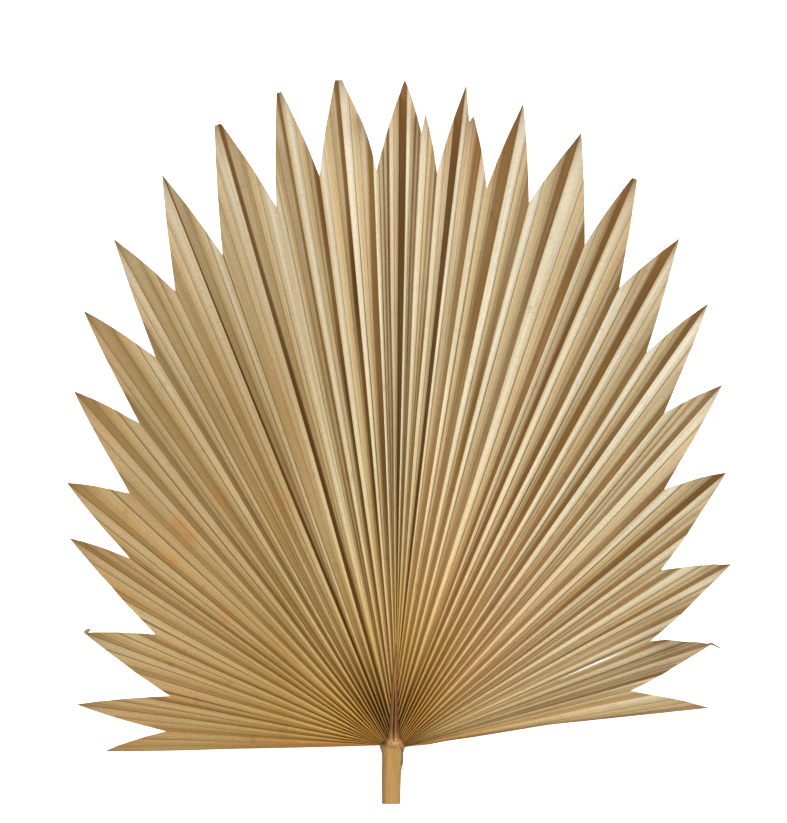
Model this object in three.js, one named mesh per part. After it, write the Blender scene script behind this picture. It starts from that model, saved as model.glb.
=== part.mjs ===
// A dried and pressed sun palm leaf that lies flat: a pleated fan with scissor-cut teeth, on a short cut stalk.
// Millimetres. +X is right, +Y runs from the stalk to the top teeth, +Z is up, out of the leaf's face.
// The origin is the flat spot under the stalk's head, one of the three places that the leaf rests on.
import * as THREE from 'three';

// Places in the leaf's plane
const LEAF_REACH = 400; // from the origin to the highest teeth
const RIGHT_ROOT = [4, -2]; // where the folds of the right half would meet
const LEFT_ROOT = [-6.5, -0.5]; // where the folds of the left half would meet
const COSTA_TIP = [1.5, 62]; // the end of the stalk's slim prolongation, the costa, into the blade
const CENTRE_ANGLE = 89.1; // degrees, the fold in line with the costa
const COSTA_SPREAD = 14; // degrees beside the centre in which most of the folds climb the costa
const COSTA_FALL = 1.1; // exponent of how the climb ends

// The cut margin, anticlockwise from the lower right tooth. Each row is a corner: x, y, and how many pleats
// lie between it and the corner before. Corners at whole sums are on ridges.
const MARGIN = [
  [189.0, 22.6, 0],
  [141.6, 32.5, 1.38],
  [190.2, 60.9, 1.62],
  [162.6, 63.6, 1.1],
  [153.5, 62.2, 0.28],
  [201.8, 108.7, 1.62],
  [160.2, 105.0, 1.38],
  [199.2, 163.8, 1.62],
  [161.6, 153.2, 1],
  [197.0, 216.2, 1],
  [161.4, 198.5, 1],
  [189.0, 265.4, 1],
  [151.2, 235.2, 1],
  [171.6, 304.2, 1],
  [135.1, 274.2, 1],
  [146.0, 339.3, 0.92],
  [143.2, 340.6, 0.16],
  [114.5, 300.0, 0.92],
  [112.4, 367.4, 1],
  [80.8, 324.8, 1],
  [77.6, 385.2, 1],
  [55.6, 333.7, 0.6],
  [47.9, 377.9, 0.79],
  [45.2, 374.0, 0.16],
  [43.5, 396.7, 0.45],
  [25.7, 342.6, 1],
  [18.9, 379.5, 0.76],
  [16.5, 366.6, 0.14],
  [6.4, 399.9, 1.25],
  [-10.6, 344.2, 1.7],
  [-19.0, 373.9, 0.45],
  [-31.1, 399.3, 0.58],
  [-35.6, 399.3, 0.24],
  [-44.6, 340.9, 0.88],
  [-67.5, 391.8, 0.93],
  [-70.5, 391.3, 0.14],
  [-70.4, 322.4, 0.93],
  [-104.0, 373.4, 0.92],
  [-107.8, 371.8, 0.16],
  [-102.7, 293.5, 0.92],
  [-139.5, 342.8, 1],
  [-131.1, 271.8, 1],
  [-168.6, 304.0, 1],
  [-142.7, 232.4, 1],
  [-186.6, 260.9, 1],
  [-152.2, 192.7, 1],
  [-192.1, 212.6, 1],
  [-157.9, 150.7, 1],
  [-196.2, 157.6, 1],
  [-157.6, 111.7, 1],
  [-194.5, 124.4, 1],
  [-142.7, 66.4, 1.62],
  [-185.7, 67.5, 1.38],
  [-133.9, 29.5, 1.62],
  [-190.3, 24.6, 1.38],
  [-136.4, 8.5, 1],
  [-174.0, -3.6, 1],
];
const TURN_PLEAT = 32; // the steep sides are left of their ridges before this one and right of them after it
const EDGE_BOW = 0.9; // how far the longer cuts bulge between their corners
const BOWED_CUT = 30; // length from which a cut bulges

// The lower edge of the right half, which sags below its first fold near the stalk
const LOWER_EDGE = [[12, -0.7], [20.4, 0], [31.2, 2.4], [45.6, 4.5], [93.3, 12.6], [189.0, 22.6]];

// Pleats
const STEEP_SHARE = 0.38; // of a pleat's width, the steep side
const NARROW_SHARE = 0.2; // the same on the flatter left side
const NARROWING = [35, 43]; // pleats between which it narrows
const SHARE_RANGE = [0.85, 1.15]; // from pleat to pleat
const SHOULDER_SHARE = 0.5; // of the broad side, where it starts to fall faster
const ROUNDING = 1.85; // how strongly the broad side is arched
const PLEAT_DEPTH = 7; // far out, before the flatter parts are taken off
const DEPTH_REACH = 80; // distance from the root at which half that depth is reached
const DEPTH_LIMIT = 0.042; // of the distance from the root, close to the stalk
const FLAT_SIDE = [118, 160]; // degrees between which the left side's pleats flatten
const FLAT_SIDE_DEPTH = 0.5;
const THICKNESS = 0.6; // square to the steepest side
const RADIAL_STEPS = 10;
const STEP_GROWTH = 1.2; // longer steps towards the margin

// A split between two pleats of the lower right lobe, as steps along the fold
const SPLIT_PLEAT = 4.38;
const SPLIT_WIDTH = 0.1; // in pleats
const SPLIT_STEPS = [7, 8];

// Height of the blade's middle surface
const HUB_HEIGHT = 5;
const CENTRE_RISE = 5;
const SIDE_RISE = 3.5;
const MARGIN_DROOP = 8;
const WAVE_HEIGHT = 2.5;
const WAVE_COUNT = 6.2;
const LANDING_PLACES = [[166, 294], [-163, 294]]; // two teeth dip here to the surface that the leaf lies on
const LANDING_RADIUS = 45;
const LANDING_HEIGHT = 1.2; // of the middle surface there, lower than the pleats are deep

// The stalk from its cut end to the tip of the costa: y, left side, right side, underside, top,
// depth of the slit in the top
const STALK = [
  [-35.7, -7.1, 3.7, 0.9, 8.6, 0],
  [-24.0, -7.2, 4.0, 0.6, 8.7, 0],
  [-15.8, -7.3, 4.5, 0.3, 8.9, 0],
  [-10.5, -7.4, 5.8, 0.0, 9.1, 0],
  [-5.2, -7.6, 5.8, -0.4, 9.5, 0],
  [-1.4, -8.6, 6.8, -0.6, 10.2, 0],
  [1.2, -7.6, 5.9, -0.6, 10.5, 0],
  [3.5, -4.8, 4.4, -0.4, 10.2, 0.3],
  [8.0, -3.4, 3.3, 0.7, 9.8, 1.6],
  [17.0, -2.7, 2.8, 3.0, 9.3, 1.1],
  [28.0, -1.9, 2.5, 4.4, 9.3, 0.5],
  [40.0, -1.2, 2.2, 5.4, 9.5, 0],
  [62.0, 0.9, 2.1, 7.2, 9.1, 0],
];
const STALK_SIDES = 24;
const STALK_SQUARENESS = 2.5; // exponent of the section, 2 for an ellipse
const JOINT_GAP = 0.4; // between the stalk and the blade, measured across the leaf
const RING_GAP = 0.8; // from the stalk to the nearest ends of the folds
const RING_DEPTH = 6; // further out again, away from the costa
const HEAD_RIGHT = -0.8; // y at which the blade meets the stalk's head
const HEAD_LEFT = 0.6;

const mix = (a, b, t) => a + (b - a) * t;

const mixPoint = (p, q, t) => [mix(p[0], q[0], t), mix(p[1], q[1], t)];

const clamp01 = (t) => Math.min(1, Math.max(0, t));

// A number from 0 to 1 that looks random but is fixed for each k
function vary(k) {
  const s = Math.sin(k * 12.9898 + 4.1) * 43758.5453;
  return s - Math.floor(s);
}

// How far up the costa a fold at this angle starts, from 0 to 1
const climbAt = (angle) => Math.exp(-((Math.abs(angle - CENTRE_ANGLE) / COSTA_SPREAD) ** COSTA_FALL));

// Where a fold at this angle starts: at its half's root, or up the costa close to the centre
function rootAt(angle) {
  return mixPoint(angle < CENTRE_ANGLE ? RIGHT_ROOT : LEFT_ROOT, COSTA_TIP, climbAt(angle));
}

// The angle in degrees of the fold that ends at a point, found by repetition
function angleThrough([x, y]) {
  let angle = THREE.MathUtils.radToDeg(Math.atan2(y, x));
  for (let i = 0; i < 30; i += 1) {
    const root = rootAt(angle);
    const found = THREE.MathUtils.radToDeg(Math.atan2(y - root[1], x - root[0]));
    angle = (angle + (found < -90 ? found + 360 : found)) / 2;
  }
  return angle;
}

// The stalk's left and right side at a height y on the leaf
function stalkSides(y) {
  const i = Math.max(1, STALK.findIndex((row) => row[0] >= y));
  const [low, high] = [STALK[i - 1], STALK[i]];
  const t = clamp01((y - low[0]) / (high[0] - low[0]));
  return [mix(low[1], high[1], t), mix(low[2], high[2], t)];
}

function insideStalk([x, y], gap) {
  if (y > COSTA_TIP[1] + gap) return false;
  const [left, right] = stalkSides(Math.min(y, COSTA_TIP[1]));
  return x > left - gap && x < right + gap;
}

// The inner end of a fold: clear of the stalk, and further out where the folds crowd together
function innerEnd(angle) {
  const root = rootAt(angle);
  const radians = THREE.MathUtils.degToRad(angle);
  const along = (d) => [root[0] + d * Math.cos(radians), root[1] + d * Math.sin(radians)];
  let d = 0;
  while (insideStalk(along(d), RING_GAP)) d += 0.05;
  return along(d + RING_DEPTH * (1 - climbAt(angle)));
}

function marginPleats() {
  let sum = 0;
  return MARGIN.map((row) => {
    sum += row[2];
    return sum;
  });
}

const CORNER_PLEATS = marginPleats();
const PLEATS = Math.round(CORNER_PLEATS.at(-1));

// The point on the cut margin at a place counted in pleats
function marginPoint(pleat) {
  const last = MARGIN.length - 1;
  const i = Math.min(last, Math.max(1, CORNER_PLEATS.findIndex((p) => p >= pleat - 1e-6)));
  const [from, to] = [MARGIN[i - 1], MARGIN[i]];
  const t = clamp01((pleat - CORNER_PLEATS[i - 1]) / (CORNER_PLEATS[i] - CORNER_PLEATS[i - 1]));
  const [x, y] = mixPoint(from, to, t);
  const [dx, dy] = [to[0] - from[0], to[1] - from[1]];
  const length = Math.hypot(dx, dy);
  const bow = length > BOWED_CUT ? EDGE_BOW * Math.sin(Math.PI * t) : 0;
  return [x + (bow * dy) / length, y - (bow * dx) / length];
}

// The steep side's share of a pleat's width
function steepShare(pleat) {
  const narrow = clamp01((pleat - NARROWING[0]) / (NARROWING[1] - NARROWING[0]));
  return mix(STEEP_SHARE, NARROW_SHARE, narrow) * mix(SHARE_RANGE[0], SHARE_RANGE[1], vary(pleat * 2.3));
}

// The share of a pleat at which its valley lies
const valleyShare = (pleat) => (pleat < TURN_PLEAT ? steepShare(pleat) : 1 - steepShare(pleat));

const pleatOf = (place) => Math.min(Math.floor(place + 1e-6), PLEATS - 1);

// The places of all fold lines, in pleats: ridges, valleys, shoulders of the broad sides and margin corners
function foldPlaces() {
  const places = [PLEATS, SPLIT_PLEAT + SPLIT_WIDTH, ...CORNER_PLEATS];
  for (let ridge = 0; ridge < PLEATS; ridge += 1) {
    const valley = valleyShare(ridge);
    const shoulder = ridge < TURN_PLEAT ? mix(1, valley, SHOULDER_SHARE) : SHOULDER_SHARE * valley;
    places.push(ridge, ridge + valley, ridge + shoulder);
  }
  places.sort((a, b) => a - b);
  return places.filter((place, i) => i === 0 || place - places[i - 1] > 0.004);
}

// Height within a pleat: 1 on the ridge, 0 in the valley, straight on the steep side, arched on the broad one
function pleatHeight(place) {
  const ridge = pleatOf(place);
  const share = Math.max(0, place - ridge);
  const valley = valleyShare(ridge);
  const falling = share < valley;
  const rise = falling ? 1 - share / valley : (share - valley) / (1 - valley);
  const broad = falling !== ridge < TURN_PLEAT;
  return broad ? 1 - (1 - rise) ** ROUNDING : rise;
}

// How deep the pleats are at a place, this far from the root
function pleatDepth(place, angle, distance) {
  const own = 0.82 + 0.36 * vary(pleatOf(place));
  const side = clamp01((angle - FLAT_SIDE[0]) / (FLAT_SIDE[1] - FLAT_SIDE[0]));
  const depth = Math.min(DEPTH_LIMIT * distance, (PLEAT_DEPTH * distance) / (distance + DEPTH_REACH));
  return own * mix(1, FLAT_SIDE_DEPTH, side) * depth;
}

function restingHeight(x, y) {
  const reach = Math.hypot(x, y);
  const angle = Math.atan2(y, x) - THREE.MathUtils.degToRad(CENTRE_ANGLE);
  const share = reach / LEAF_REACH;
  const rise = CENTRE_RISE * (1 - Math.exp(-reach / 60)) + SIDE_RISE * (1 - Math.exp(-Math.abs(x) / 40));
  const wave = WAVE_HEIGHT * share ** 2 * Math.cos(WAVE_COUNT * angle);
  return HUB_HEIGHT + rise - MARGIN_DROOP * share ** 3 + wave;
}

// The blade's middle surface, with the two teeth that dip down
function middleHeight(x, y) {
  const dips = LANDING_PLACES.map(([tx, ty]) => {
    const near = Math.exp(-(((x - tx) ** 2 + (y - ty) ** 2) / LANDING_RADIUS ** 2));
    return near * (restingHeight(tx, ty) - LANDING_HEIGHT);
  });
  return restingHeight(x, y) - dips[0] - dips[1];
}

// A point at share t of a line of points, by its length
function alongLine(points, t) {
  const lengths = points.slice(1).map((p, i) => Math.hypot(p[0] - points[i][0], p[1] - points[i][1]));
  let rest = t * lengths.reduce((a, b) => a + b);
  let i = 0;
  while (i < lengths.length - 1 && rest > lengths[i]) {
    rest -= lengths[i];
    i += 1;
  }
  return mixPoint(points[i], points[i + 1], Math.min(1, rest / lengths[i]));
}

// One fold line: its route in the plane, its angle, and the point that its pleat's depth is measured from
function foldLine(place) {
  const end = marginPoint(place);
  const angle = angleThrough(end);
  const route = place === 0 ? LOWER_EDGE : [innerEnd(angle), end];
  return { place, angle, route, root: rootAt(angle) };
}

// Adds a point of the blade, its top raised off the surface that the leaf lies on where it would sink in
function addPoint(sheet, x, y, lift, slope) {
  const upright = THICKNESS * Math.hypot(1, slope);
  const top = Math.max(middleHeight(x, y) + lift + upright / 2, upright);
  sheet.points.push([x, y]);
  sheet.tops.push(top);
  sheet.bottoms.push(top - upright);
}

function addFolds(sheet, folds) {
  for (const { place, angle, route, root } of folds) {
    for (let step = 0; step <= RADIAL_STEPS; step += 1) {
      const [x, y] = alongLine(route, (step / RADIAL_STEPS) ** STEP_GROWTH);
      const distance = Math.hypot(x - root[0], y - root[1]);
      const depth = pleatDepth(place, angle, distance);
      const steepWidth = steepShare(pleatOf(place)) * distance * THREE.MathUtils.degToRad(3);
      addPoint(sheet, x, y, depth * (pleatHeight(place) - 0.5), depth / steepWidth);
    }
  }
}

function addStrips(sheet, folds) {
  const row = RADIAL_STEPS + 1;
  for (let i = 0; i < folds.length - 1; i += 1) {
    const split = Math.abs(folds[i].place - SPLIT_PLEAT) < 0.01;
    for (let step = 0; step < RADIAL_STEPS; step += 1) {
      if (split && SPLIT_STEPS.includes(step)) continue;
      const a = i * row + step;
      const b = a + row;
      sheet.faces.push([a, a + 1, b + 1], [a, b + 1, b]);
    }
  }
}

// The stalk's outline with the gap round it, from the right of its head over the costa's tip to the left
function stalkGap() {
  const rows = STALK.filter((row) => row[0] > HEAD_LEFT);
  const right = [HEAD_RIGHT, ...rows.map((row) => row[0])].map((y) => [stalkSides(y)[1] + JOINT_GAP, y]);
  const left = [HEAD_LEFT, ...rows.map((row) => row[0])].map((y) => [stalkSides(y)[0] - JOINT_GAP, y]);
  const tip = [right.at(-1)[0], left.at(-1)[0]].map((x) => [x, COSTA_TIP[1] + JOINT_GAP]);
  return [...right, ...tip, ...left.reverse()];
}

// Fills the blade between the stalk and the inner ends of the folds
function addHub(sheet, folds) {
  const ends = folds.map((fold, i) => i * (RADIAL_STEPS + 1));
  const around = stalkGap();
  const first = sheet.points.length;
  for (const [x, y] of around) addPoint(sheet, x, y, 0, 0);
  const ring = [...ends, ...around.map((p, i) => first + around.length - 1 - i)];
  const outline = ring.map((k) => new THREE.Vector2(...sheet.points[k]));
  for (const [a, b, c] of THREE.ShapeUtils.triangulateShape(outline, [])) {
    const [p, q, r] = [outline[a], outline[b], outline[c]];
    const turn = (q.x - p.x) * (r.y - p.y) - (q.y - p.y) * (r.x - p.x);
    sheet.faces.push(turn > 0 ? [ring[a], ring[b], ring[c]] : [ring[a], ring[c], ring[b]]);
  }
}

function toGeometry(positions, faces) {
  const geometry = new THREE.BufferGeometry();
  geometry.setAttribute('position', new THREE.Float32BufferAttribute(positions.flat(), 3));
  geometry.setIndex(faces.flat());
  geometry.computeVertexNormals();
  return geometry;
}

// Closes a sheet, given in plan with two heights for each point, into a solid of the same triangles on both faces
function closeSheet({ points, faces, tops, bottoms }) {
  const n = points.length;
  const edges = new Set(faces.flatMap(([a, b, c]) => [`${a} ${b}`, `${b} ${c}`, `${c} ${a}`]));
  const solid = faces.flatMap(([a, b, c]) => [[a, b, c], [n + a, n + c, n + b]]);
  for (const edge of edges) {
    const [a, b] = edge.split(' ').map(Number);
    if (!edges.has(`${b} ${a}`)) solid.push([n + a, n + b, b], [n + a, b, a]);
  }
  const upper = points.map(([x, y], i) => [x, y, tops[i]]);
  const lower = points.map(([x, y], i) => [x, y, bottoms[i]]);
  return toGeometry([...upper, ...lower], solid);
}

function bladeGeometry() {
  const sheet = { points: [], faces: [], tops: [], bottoms: [] };
  const folds = foldPlaces().map(foldLine);
  addFolds(sheet, folds);
  addStrips(sheet, folds);
  addHub(sheet, folds);
  return closeSheet(sheet);
}

// One section of the stalk, flat underneath where it would reach below the surface that the leaf lies on
function stalkSection([y, left, right, under, top, slit]) {
  const section = [];
  for (let k = 0; k < STALK_SIDES; k += 1) {
    const turn = (2 * Math.PI * k) / STALK_SIDES;
    const out = Math.sign(Math.cos(turn)) * Math.abs(Math.cos(turn)) ** (2 / STALK_SQUARENESS);
    const up = Math.sign(Math.sin(turn)) * Math.abs(Math.sin(turn)) ** (2 / STALK_SQUARENESS);
    const x = (left + right) / 2 + (out * (right - left)) / 2;
    const z = (under + top) / 2 + (up * (top - under)) / 2;
    const cut = k === STALK_SIDES / 4 ? slit : 0;
    section.push([x, y, Math.max(0, z - cut)]);
  }
  return section;
}

function stalkGeometry() {
  const sections = STALK.map(stalkSection);
  const positions = sections.flat();
  const faces = [];
  const last = (sections.length - 1) * STALK_SIDES;
  const ends = [positions.length, positions.length + 1];
  for (const row of [STALK[0], STALK.at(-1)]) {
    positions.push([(row[1] + row[2]) / 2, row[0], (row[3] + row[4]) / 2]);
  }
  for (let k = 0; k < STALK_SIDES; k += 1) {
    const next = (k + 1) % STALK_SIDES;
    for (let at = 0; at < last; at += STALK_SIDES) {
      const above = at + STALK_SIDES;
      faces.push([at + k, above + k, at + next], [at + next, above + k, above + next]);
    }
    faces.push([ends[0], k, next], [ends[1], last + next, last + k]);
  }
  return toGeometry(positions, faces);
}

function part(name, geometry, color, roughness) {
  const mesh = new THREE.Mesh(geometry, new THREE.MeshStandardMaterial({ color, roughness, metalness: 0 }));
  mesh.name = name;
  return mesh;
}

const leaf = new THREE.Group();
leaf.add(part('blade', bladeGeometry(), 0xcbb68c, 0.6));
leaf.add(part('stalk', stalkGeometry(), 0xbd9454, 0.55));

export default leaf;
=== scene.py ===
"""A dried, pressed sun palm leaf on a pale surface, seen from straight above in soft studio light.

The leaf's plan is written in millimetres and every mesh in metres. +Y runs from the cut stalk to the top
teeth and +Z is up. The blade and the stalk are made again from the formulas of the solids that they replace,
with finer pleats, a thin blade, ragged cuts, creases and fibres.
"""
import math
from types import SimpleNamespace

import bpy
import numpy as np
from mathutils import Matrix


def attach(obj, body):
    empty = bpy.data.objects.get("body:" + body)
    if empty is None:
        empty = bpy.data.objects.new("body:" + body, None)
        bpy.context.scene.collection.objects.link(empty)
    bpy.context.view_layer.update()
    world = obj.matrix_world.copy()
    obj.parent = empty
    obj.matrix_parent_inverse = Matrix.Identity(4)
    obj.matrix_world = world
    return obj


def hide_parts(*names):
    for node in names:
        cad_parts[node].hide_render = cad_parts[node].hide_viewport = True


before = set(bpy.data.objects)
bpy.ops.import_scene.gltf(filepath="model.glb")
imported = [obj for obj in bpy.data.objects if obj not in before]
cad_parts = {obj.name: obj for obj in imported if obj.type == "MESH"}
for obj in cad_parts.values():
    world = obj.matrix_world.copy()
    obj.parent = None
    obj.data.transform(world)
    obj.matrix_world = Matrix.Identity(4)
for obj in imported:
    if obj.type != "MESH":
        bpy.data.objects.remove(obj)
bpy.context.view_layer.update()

MM = 0.001
TINY = 1e-6

# Places in the leaf's plane, in millimetres
LEAF_REACH = 400
RIGHT_ROOT = (4, -2)
LEFT_ROOT = (-6.5, -0.5)
COSTA_TIP = (1.5, 62)
CENTRE_ANGLE = 89.1
COSTA_SPREAD = 14
COSTA_FALL = 1.1
ANGLE_ROUNDS = 30

# The cut margin: x, y, pleats since the corner before
MARGIN = (
    (189.0, 22.6, 0), (141.6, 32.5, 1.38), (190.2, 60.9, 1.62), (162.6, 63.6, 1.1), (153.5, 62.2, 0.28),
    (201.8, 108.7, 1.62), (160.2, 105.0, 1.38), (199.2, 163.8, 1.62), (161.6, 153.2, 1), (197.0, 216.2, 1),
    (161.4, 198.5, 1), (189.0, 265.4, 1), (151.2, 235.2, 1), (171.6, 304.2, 1), (135.1, 274.2, 1),
    (146.0, 339.3, 0.92), (143.2, 340.6, 0.16), (114.5, 300.0, 0.92), (112.4, 367.4, 1), (80.8, 324.8, 1),
    (77.6, 385.2, 1), (55.6, 333.7, 0.6), (47.9, 377.9, 0.79), (45.2, 374.0, 0.16), (43.5, 396.7, 0.45),
    (25.7, 342.6, 1), (18.9, 379.5, 0.76), (16.5, 366.6, 0.14), (6.4, 399.9, 1.25), (-10.6, 344.2, 1.7),
    (-19.0, 373.9, 0.45), (-31.1, 399.3, 0.58), (-35.6, 399.3, 0.24), (-44.6, 340.9, 0.88),
    (-67.5, 391.8, 0.93), (-70.5, 391.3, 0.14), (-70.4, 322.4, 0.93), (-104.0, 373.4, 0.92),
    (-107.8, 371.8, 0.16), (-102.7, 293.5, 0.92), (-139.5, 342.8, 1), (-131.1, 271.8, 1), (-168.6, 304.0, 1),
    (-142.7, 232.4, 1), (-186.6, 260.9, 1), (-152.2, 192.7, 1), (-192.1, 212.6, 1), (-157.9, 150.7, 1),
    (-196.2, 157.6, 1), (-157.6, 111.7, 1), (-194.5, 124.4, 1), (-142.7, 66.4, 1.62), (-185.7, 67.5, 1.38),
    (-133.9, 29.5, 1.62), (-190.3, 24.6, 1.38), (-136.4, 8.5, 1), (-174.0, -3.6, 1),
)
CORNERS = np.array([row[:2] for row in MARGIN])
CORNER_PLACES = np.cumsum([row[2] for row in MARGIN])
PLEATS = round(CORNER_PLACES[-1])
TURN_PLEAT = 32
EDGE_BOW = 0.9
BOWED_CUT = 30
LOWER_EDGE = ((12, -0.7), (20.4, 0), (31.2, 2.4), (45.6, 4.5), (93.3, 12.6), (189.0, 22.6))
TOOTH_HEIGHT = 8

# Pleats. Shares and rises run from 0 to 1, ranges like LEFT_START are counted in pleats from the right
MEAN_PLEAT = math.radians(3)
LEFT_START = (30, 34)
STEEP_SHARE = 0.38
NARROW_SHARE = 0.2
NARROWING = (35, 43)
SHARE_RANGE = (0.85, 1.15)
ROUNDING = 1.85
PLEAT_DEPTH = 7
DEPTH_REACH = 80
DEPTH_LIMIT = 0.042
LEAST_OWN_DEPTH = 0.82
OWN_DEPTH_RANGE = 0.36
FLAT_SIDE = (118, 160)
FLAT_SIDE_DEPTH = 0.5
CREASE_RISE = 0.3
CREASE_RISE_RANGE = 0.2
CREASE_RISE_LEFT = 0.1
CREASE_WIDTH = 0.05
CREST_WIDTH = 0.05
BLADE_THICKNESS = 0.4
TOP_LIFT = 0.25
CLEARANCE = 0.05
STEEP_SAMPLES = (0, 0.08, 0.35, 0.65, 0.92)
BROAD_SAMPLES = (0, 0.06, 0.2, 0.34, 0.66, 0.8, 0.91, 0.97)
CREASE_SAMPLES = (-0.05, 0, 0.05)
LEAST_SPACING = 0.004
RADIAL_STEPS = 52
STEP_GROWTH = 1.15
INNER_GAP = 1.6
TUCK = 8
TUCK_GROWTH = 8
LEAST_DISTANCE = 0.5
BLADE_SHARP_ANGLE = math.radians(26)

# The split between two pleats of the lower right lobe: place and width in pleats, ends as shares of the
# fold's length, and the share of the width that is left where it is closed
SPLIT_PLACE = 4.38
SPLIT_WIDTH = 0.1
SPLIT_EDGE = 0.001
SPLIT_ENDS = (0.63, 0.9)
CLOSED_WIDTH = 0.15

# Irregularities, in millimetres. The starts are distances from the root over which they set in
WANDER = 1.6
WANDER_LENGTH = 75
WANDER_START = (40, 180)
WAVE_START = (40, 220)
SIDE_WAVE = 0.9
SIDE_WAVE_LENGTH = 55
RIPPLE = 0.35
RIPPLE_LENGTH = 21
RIDGE_WAVE = 0.5
RIDGE_WAVE_LENGTH = 70
CREASE_DEPTH = 0.55
CREST_RIB = 0.12
RAGGED_CUT = 0.5
FRAYED_CUT = 0.35

# A torn fibre and a folded-over tip: path with its height above the tooth's tip, widths, brownness
CURLED_BITS = (
    (
        ((188.6, 61.2, -0.2), (190.6, 60.9, 0.1), (192.4, 60.1, 0.6), (195.5, 58.2, 0.9)),
        (1.3, 1.2, 1.0, 0.7), 1.0,
    ),
    (
        ((-184.9, 66.9, 0.2), (-184.6, 68.1, 0.6), (-183.4, 68.9, 0.9), (-181.6, 69.9, 0.7)),
        (1.6, 2.6, 2.4, 0.8), 0.3,
    ),
)
BIT_THICKNESS = 0.3
# Distance from cuts and tips at which the curled bits take their colour
BIT_DISTANCE = 15

# Pleats that look different, counted from the right: ranges from none to full, or a middle and its spread
TORN_PLEAT = 43
# DARK_PLEATS get a wider, stronger painted shadow behind the ridge
DARK_PLEATS = (23, 26, 28, 29, 30, 32, 34)
LEFT_SHADOWS = (30.5, 33)
MIDDLE_SHADOWS = (18, 23)
FULL_SHADOWS = (20, 4.5)
SURE_CREASES = (14, 11)
LEFT_CREASES = (33, 36)

# Height of the blade's middle surface
HUB_HEIGHT = 5
CENTRE_RISE = 5
CENTRE_RISE_REACH = 60
SIDE_RISE = 3.5
SIDE_RISE_REACH = 40
MARGIN_DROOP = 8
WAVE_HEIGHT = 2.5
WAVE_COUNT = 6.2
LANDING_PLACES = ((166, 294), (-163, 294))
LANDING_RADIUS = 45
LANDING_HEIGHT = 1.2

# The stalk, in millimetres: y, left side, right side, underside, top
STALK = np.array((
    (-35.7, -7.4, 4.0, 0.9, 8.6), (-24.0, -7.5, 4.2, 0.6, 8.7), (-15.8, -7.6, 4.7, 0.3, 8.9),
    (-10.5, -7.4, 5.8, 0.0, 9.1), (-5.2, -7.6, 5.8, -0.4, 9.5), (-1.4, -8.6, 6.8, -0.6, 10.2),
    (1.2, -7.6, 5.9, -0.6, 10.5), (3.5, -4.8, 4.4, -0.4, 10.2), (8.0, -3.4, 3.3, 0.7, 9.8),
    (17.0, -2.7, 2.8, 3.0, 9.3), (28.0, -1.9, 2.5, 4.4, 9.3), (40.0, -1.2, 2.2, 5.4, 9.5),
    (62.0, 0.9, 2.1, 7.2, 9.1),
))
STALK_SQUARENESS = 2.5
STALK_SIDES = 84
STALK_SECTIONS = 270
STALK_SHARP_ANGLE = math.radians(50)
CAP_RINGS = (0.93, 0.75, 0.45)
CAP_BULGE = 0.15
CAP_MIDDLE = 0.1
FIBRE_ROOM = 0.1
SLIT_DEPTH = 1.5
STALK_RIDGE_HEIGHT = 0.5
NOTCH_DEPTH = 0.8
SCAR_DEPTH = 0.25

# The photograph in pixels, with the leaf's origin on it, and a pixel's width at the leaf in millimetres
PHOTO_SIZE = (787, 823)
ORIGIN_PIXEL = (394, 745)
PIXEL = 0.6

# The stage, in metres and watts, with the camera's sensor in millimetres. Lights: place, size, power
CAMERA_HEIGHT = 2.2
FOCUS_HEIGHT = 0.01
SENSOR = 36
FLOOR_HALF_SIZE = 4
FLOOR_COLOUR = (0.93, 0.93, 0.93, 1)
FLOOR_ROUGHNESS = 0.9
FLOOR_GLOW = 0.7
WHITE = (1, 1, 1, 1)
WORLD_STRENGTH = 0.5
LIGHT_TARGET = (0, 0.2, 0)
LIGHTS = {
    "soft_left": ((-0.95, 0.3, 1.2), 0.6, 15),
    "soft_right": ((0.95, 0.3, 1.2), 0.6, 11),
    "soft_top": ((0, 0.5, 2.2), 0.9, 49),
}


# Small helpers
def vary(k):
    """A number from 0 to 1 that looks random but is fixed for each k."""
    s = np.sin(np.asarray(k, float) * 12.9898 + 4.1) * 43758.5453
    return s - np.floor(s)


def smooth_vary(x, lane=0.0):
    """A smooth random curve of x from 0 to 1, another one for each lane."""
    base = np.floor(x)
    t = x - base
    t = t * t * (3 - 2 * t)
    return vary(base + 57.3 * lane) * (1 - t) + vary(base + 1 + 57.3 * lane) * t


def bell(distance, width):
    return np.exp(-((distance / width) ** 2))


def ease(x, low, high):
    """0 below low, 1 above high, smooth between them."""
    t = np.clip((x - low) / (high - low), 0, 1)
    return t * t * (3 - 2 * t)


# The fan's plan
def climb_at(angle):
    """How far up the costa a fold at this angle starts, from 0 at its foot to 1 at its tip."""
    return np.exp(-((np.abs(angle - CENTRE_ANGLE) / COSTA_SPREAD) ** COSTA_FALL))


def root_at(angle):
    side = np.where((angle < CENTRE_ANGLE)[..., None], RIGHT_ROOT, LEFT_ROOT)
    return side + (np.array(COSTA_TIP) - side) * climb_at(angle)[..., None]


def angle_through(points):
    """The angle of the fold that ends at each point, found by rounds of better guesses."""
    angle = np.degrees(np.arctan2(points[:, 1], points[:, 0]))
    for _ in range(ANGLE_ROUNDS):
        away = points - root_at(angle)
        found = np.degrees(np.arctan2(away[:, 1], away[:, 0]))
        angle = (angle + np.where(found < -90, found + 360, found)) / 2
    return angle


def margin_points(places):
    """Points of the margin, whose long cuts bow out slightly between their corners."""
    i = np.clip(np.searchsorted(CORNER_PLACES, places - TINY), 1, len(CORNERS) - 1)
    a, b = CORNERS[i - 1], CORNERS[i]
    t = np.clip((places - CORNER_PLACES[i - 1]) / (CORNER_PLACES[i] - CORNER_PLACES[i - 1]), 0, 1)[:, None]
    along = b - a
    length = np.hypot(*along.T)[:, None]
    bow = np.where(length > BOWED_CUT, EDGE_BOW * np.sin(np.pi * t), 0)
    return a + along * t + bow * np.stack([along[:, 1], -along[:, 0]], 1) / length


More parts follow.
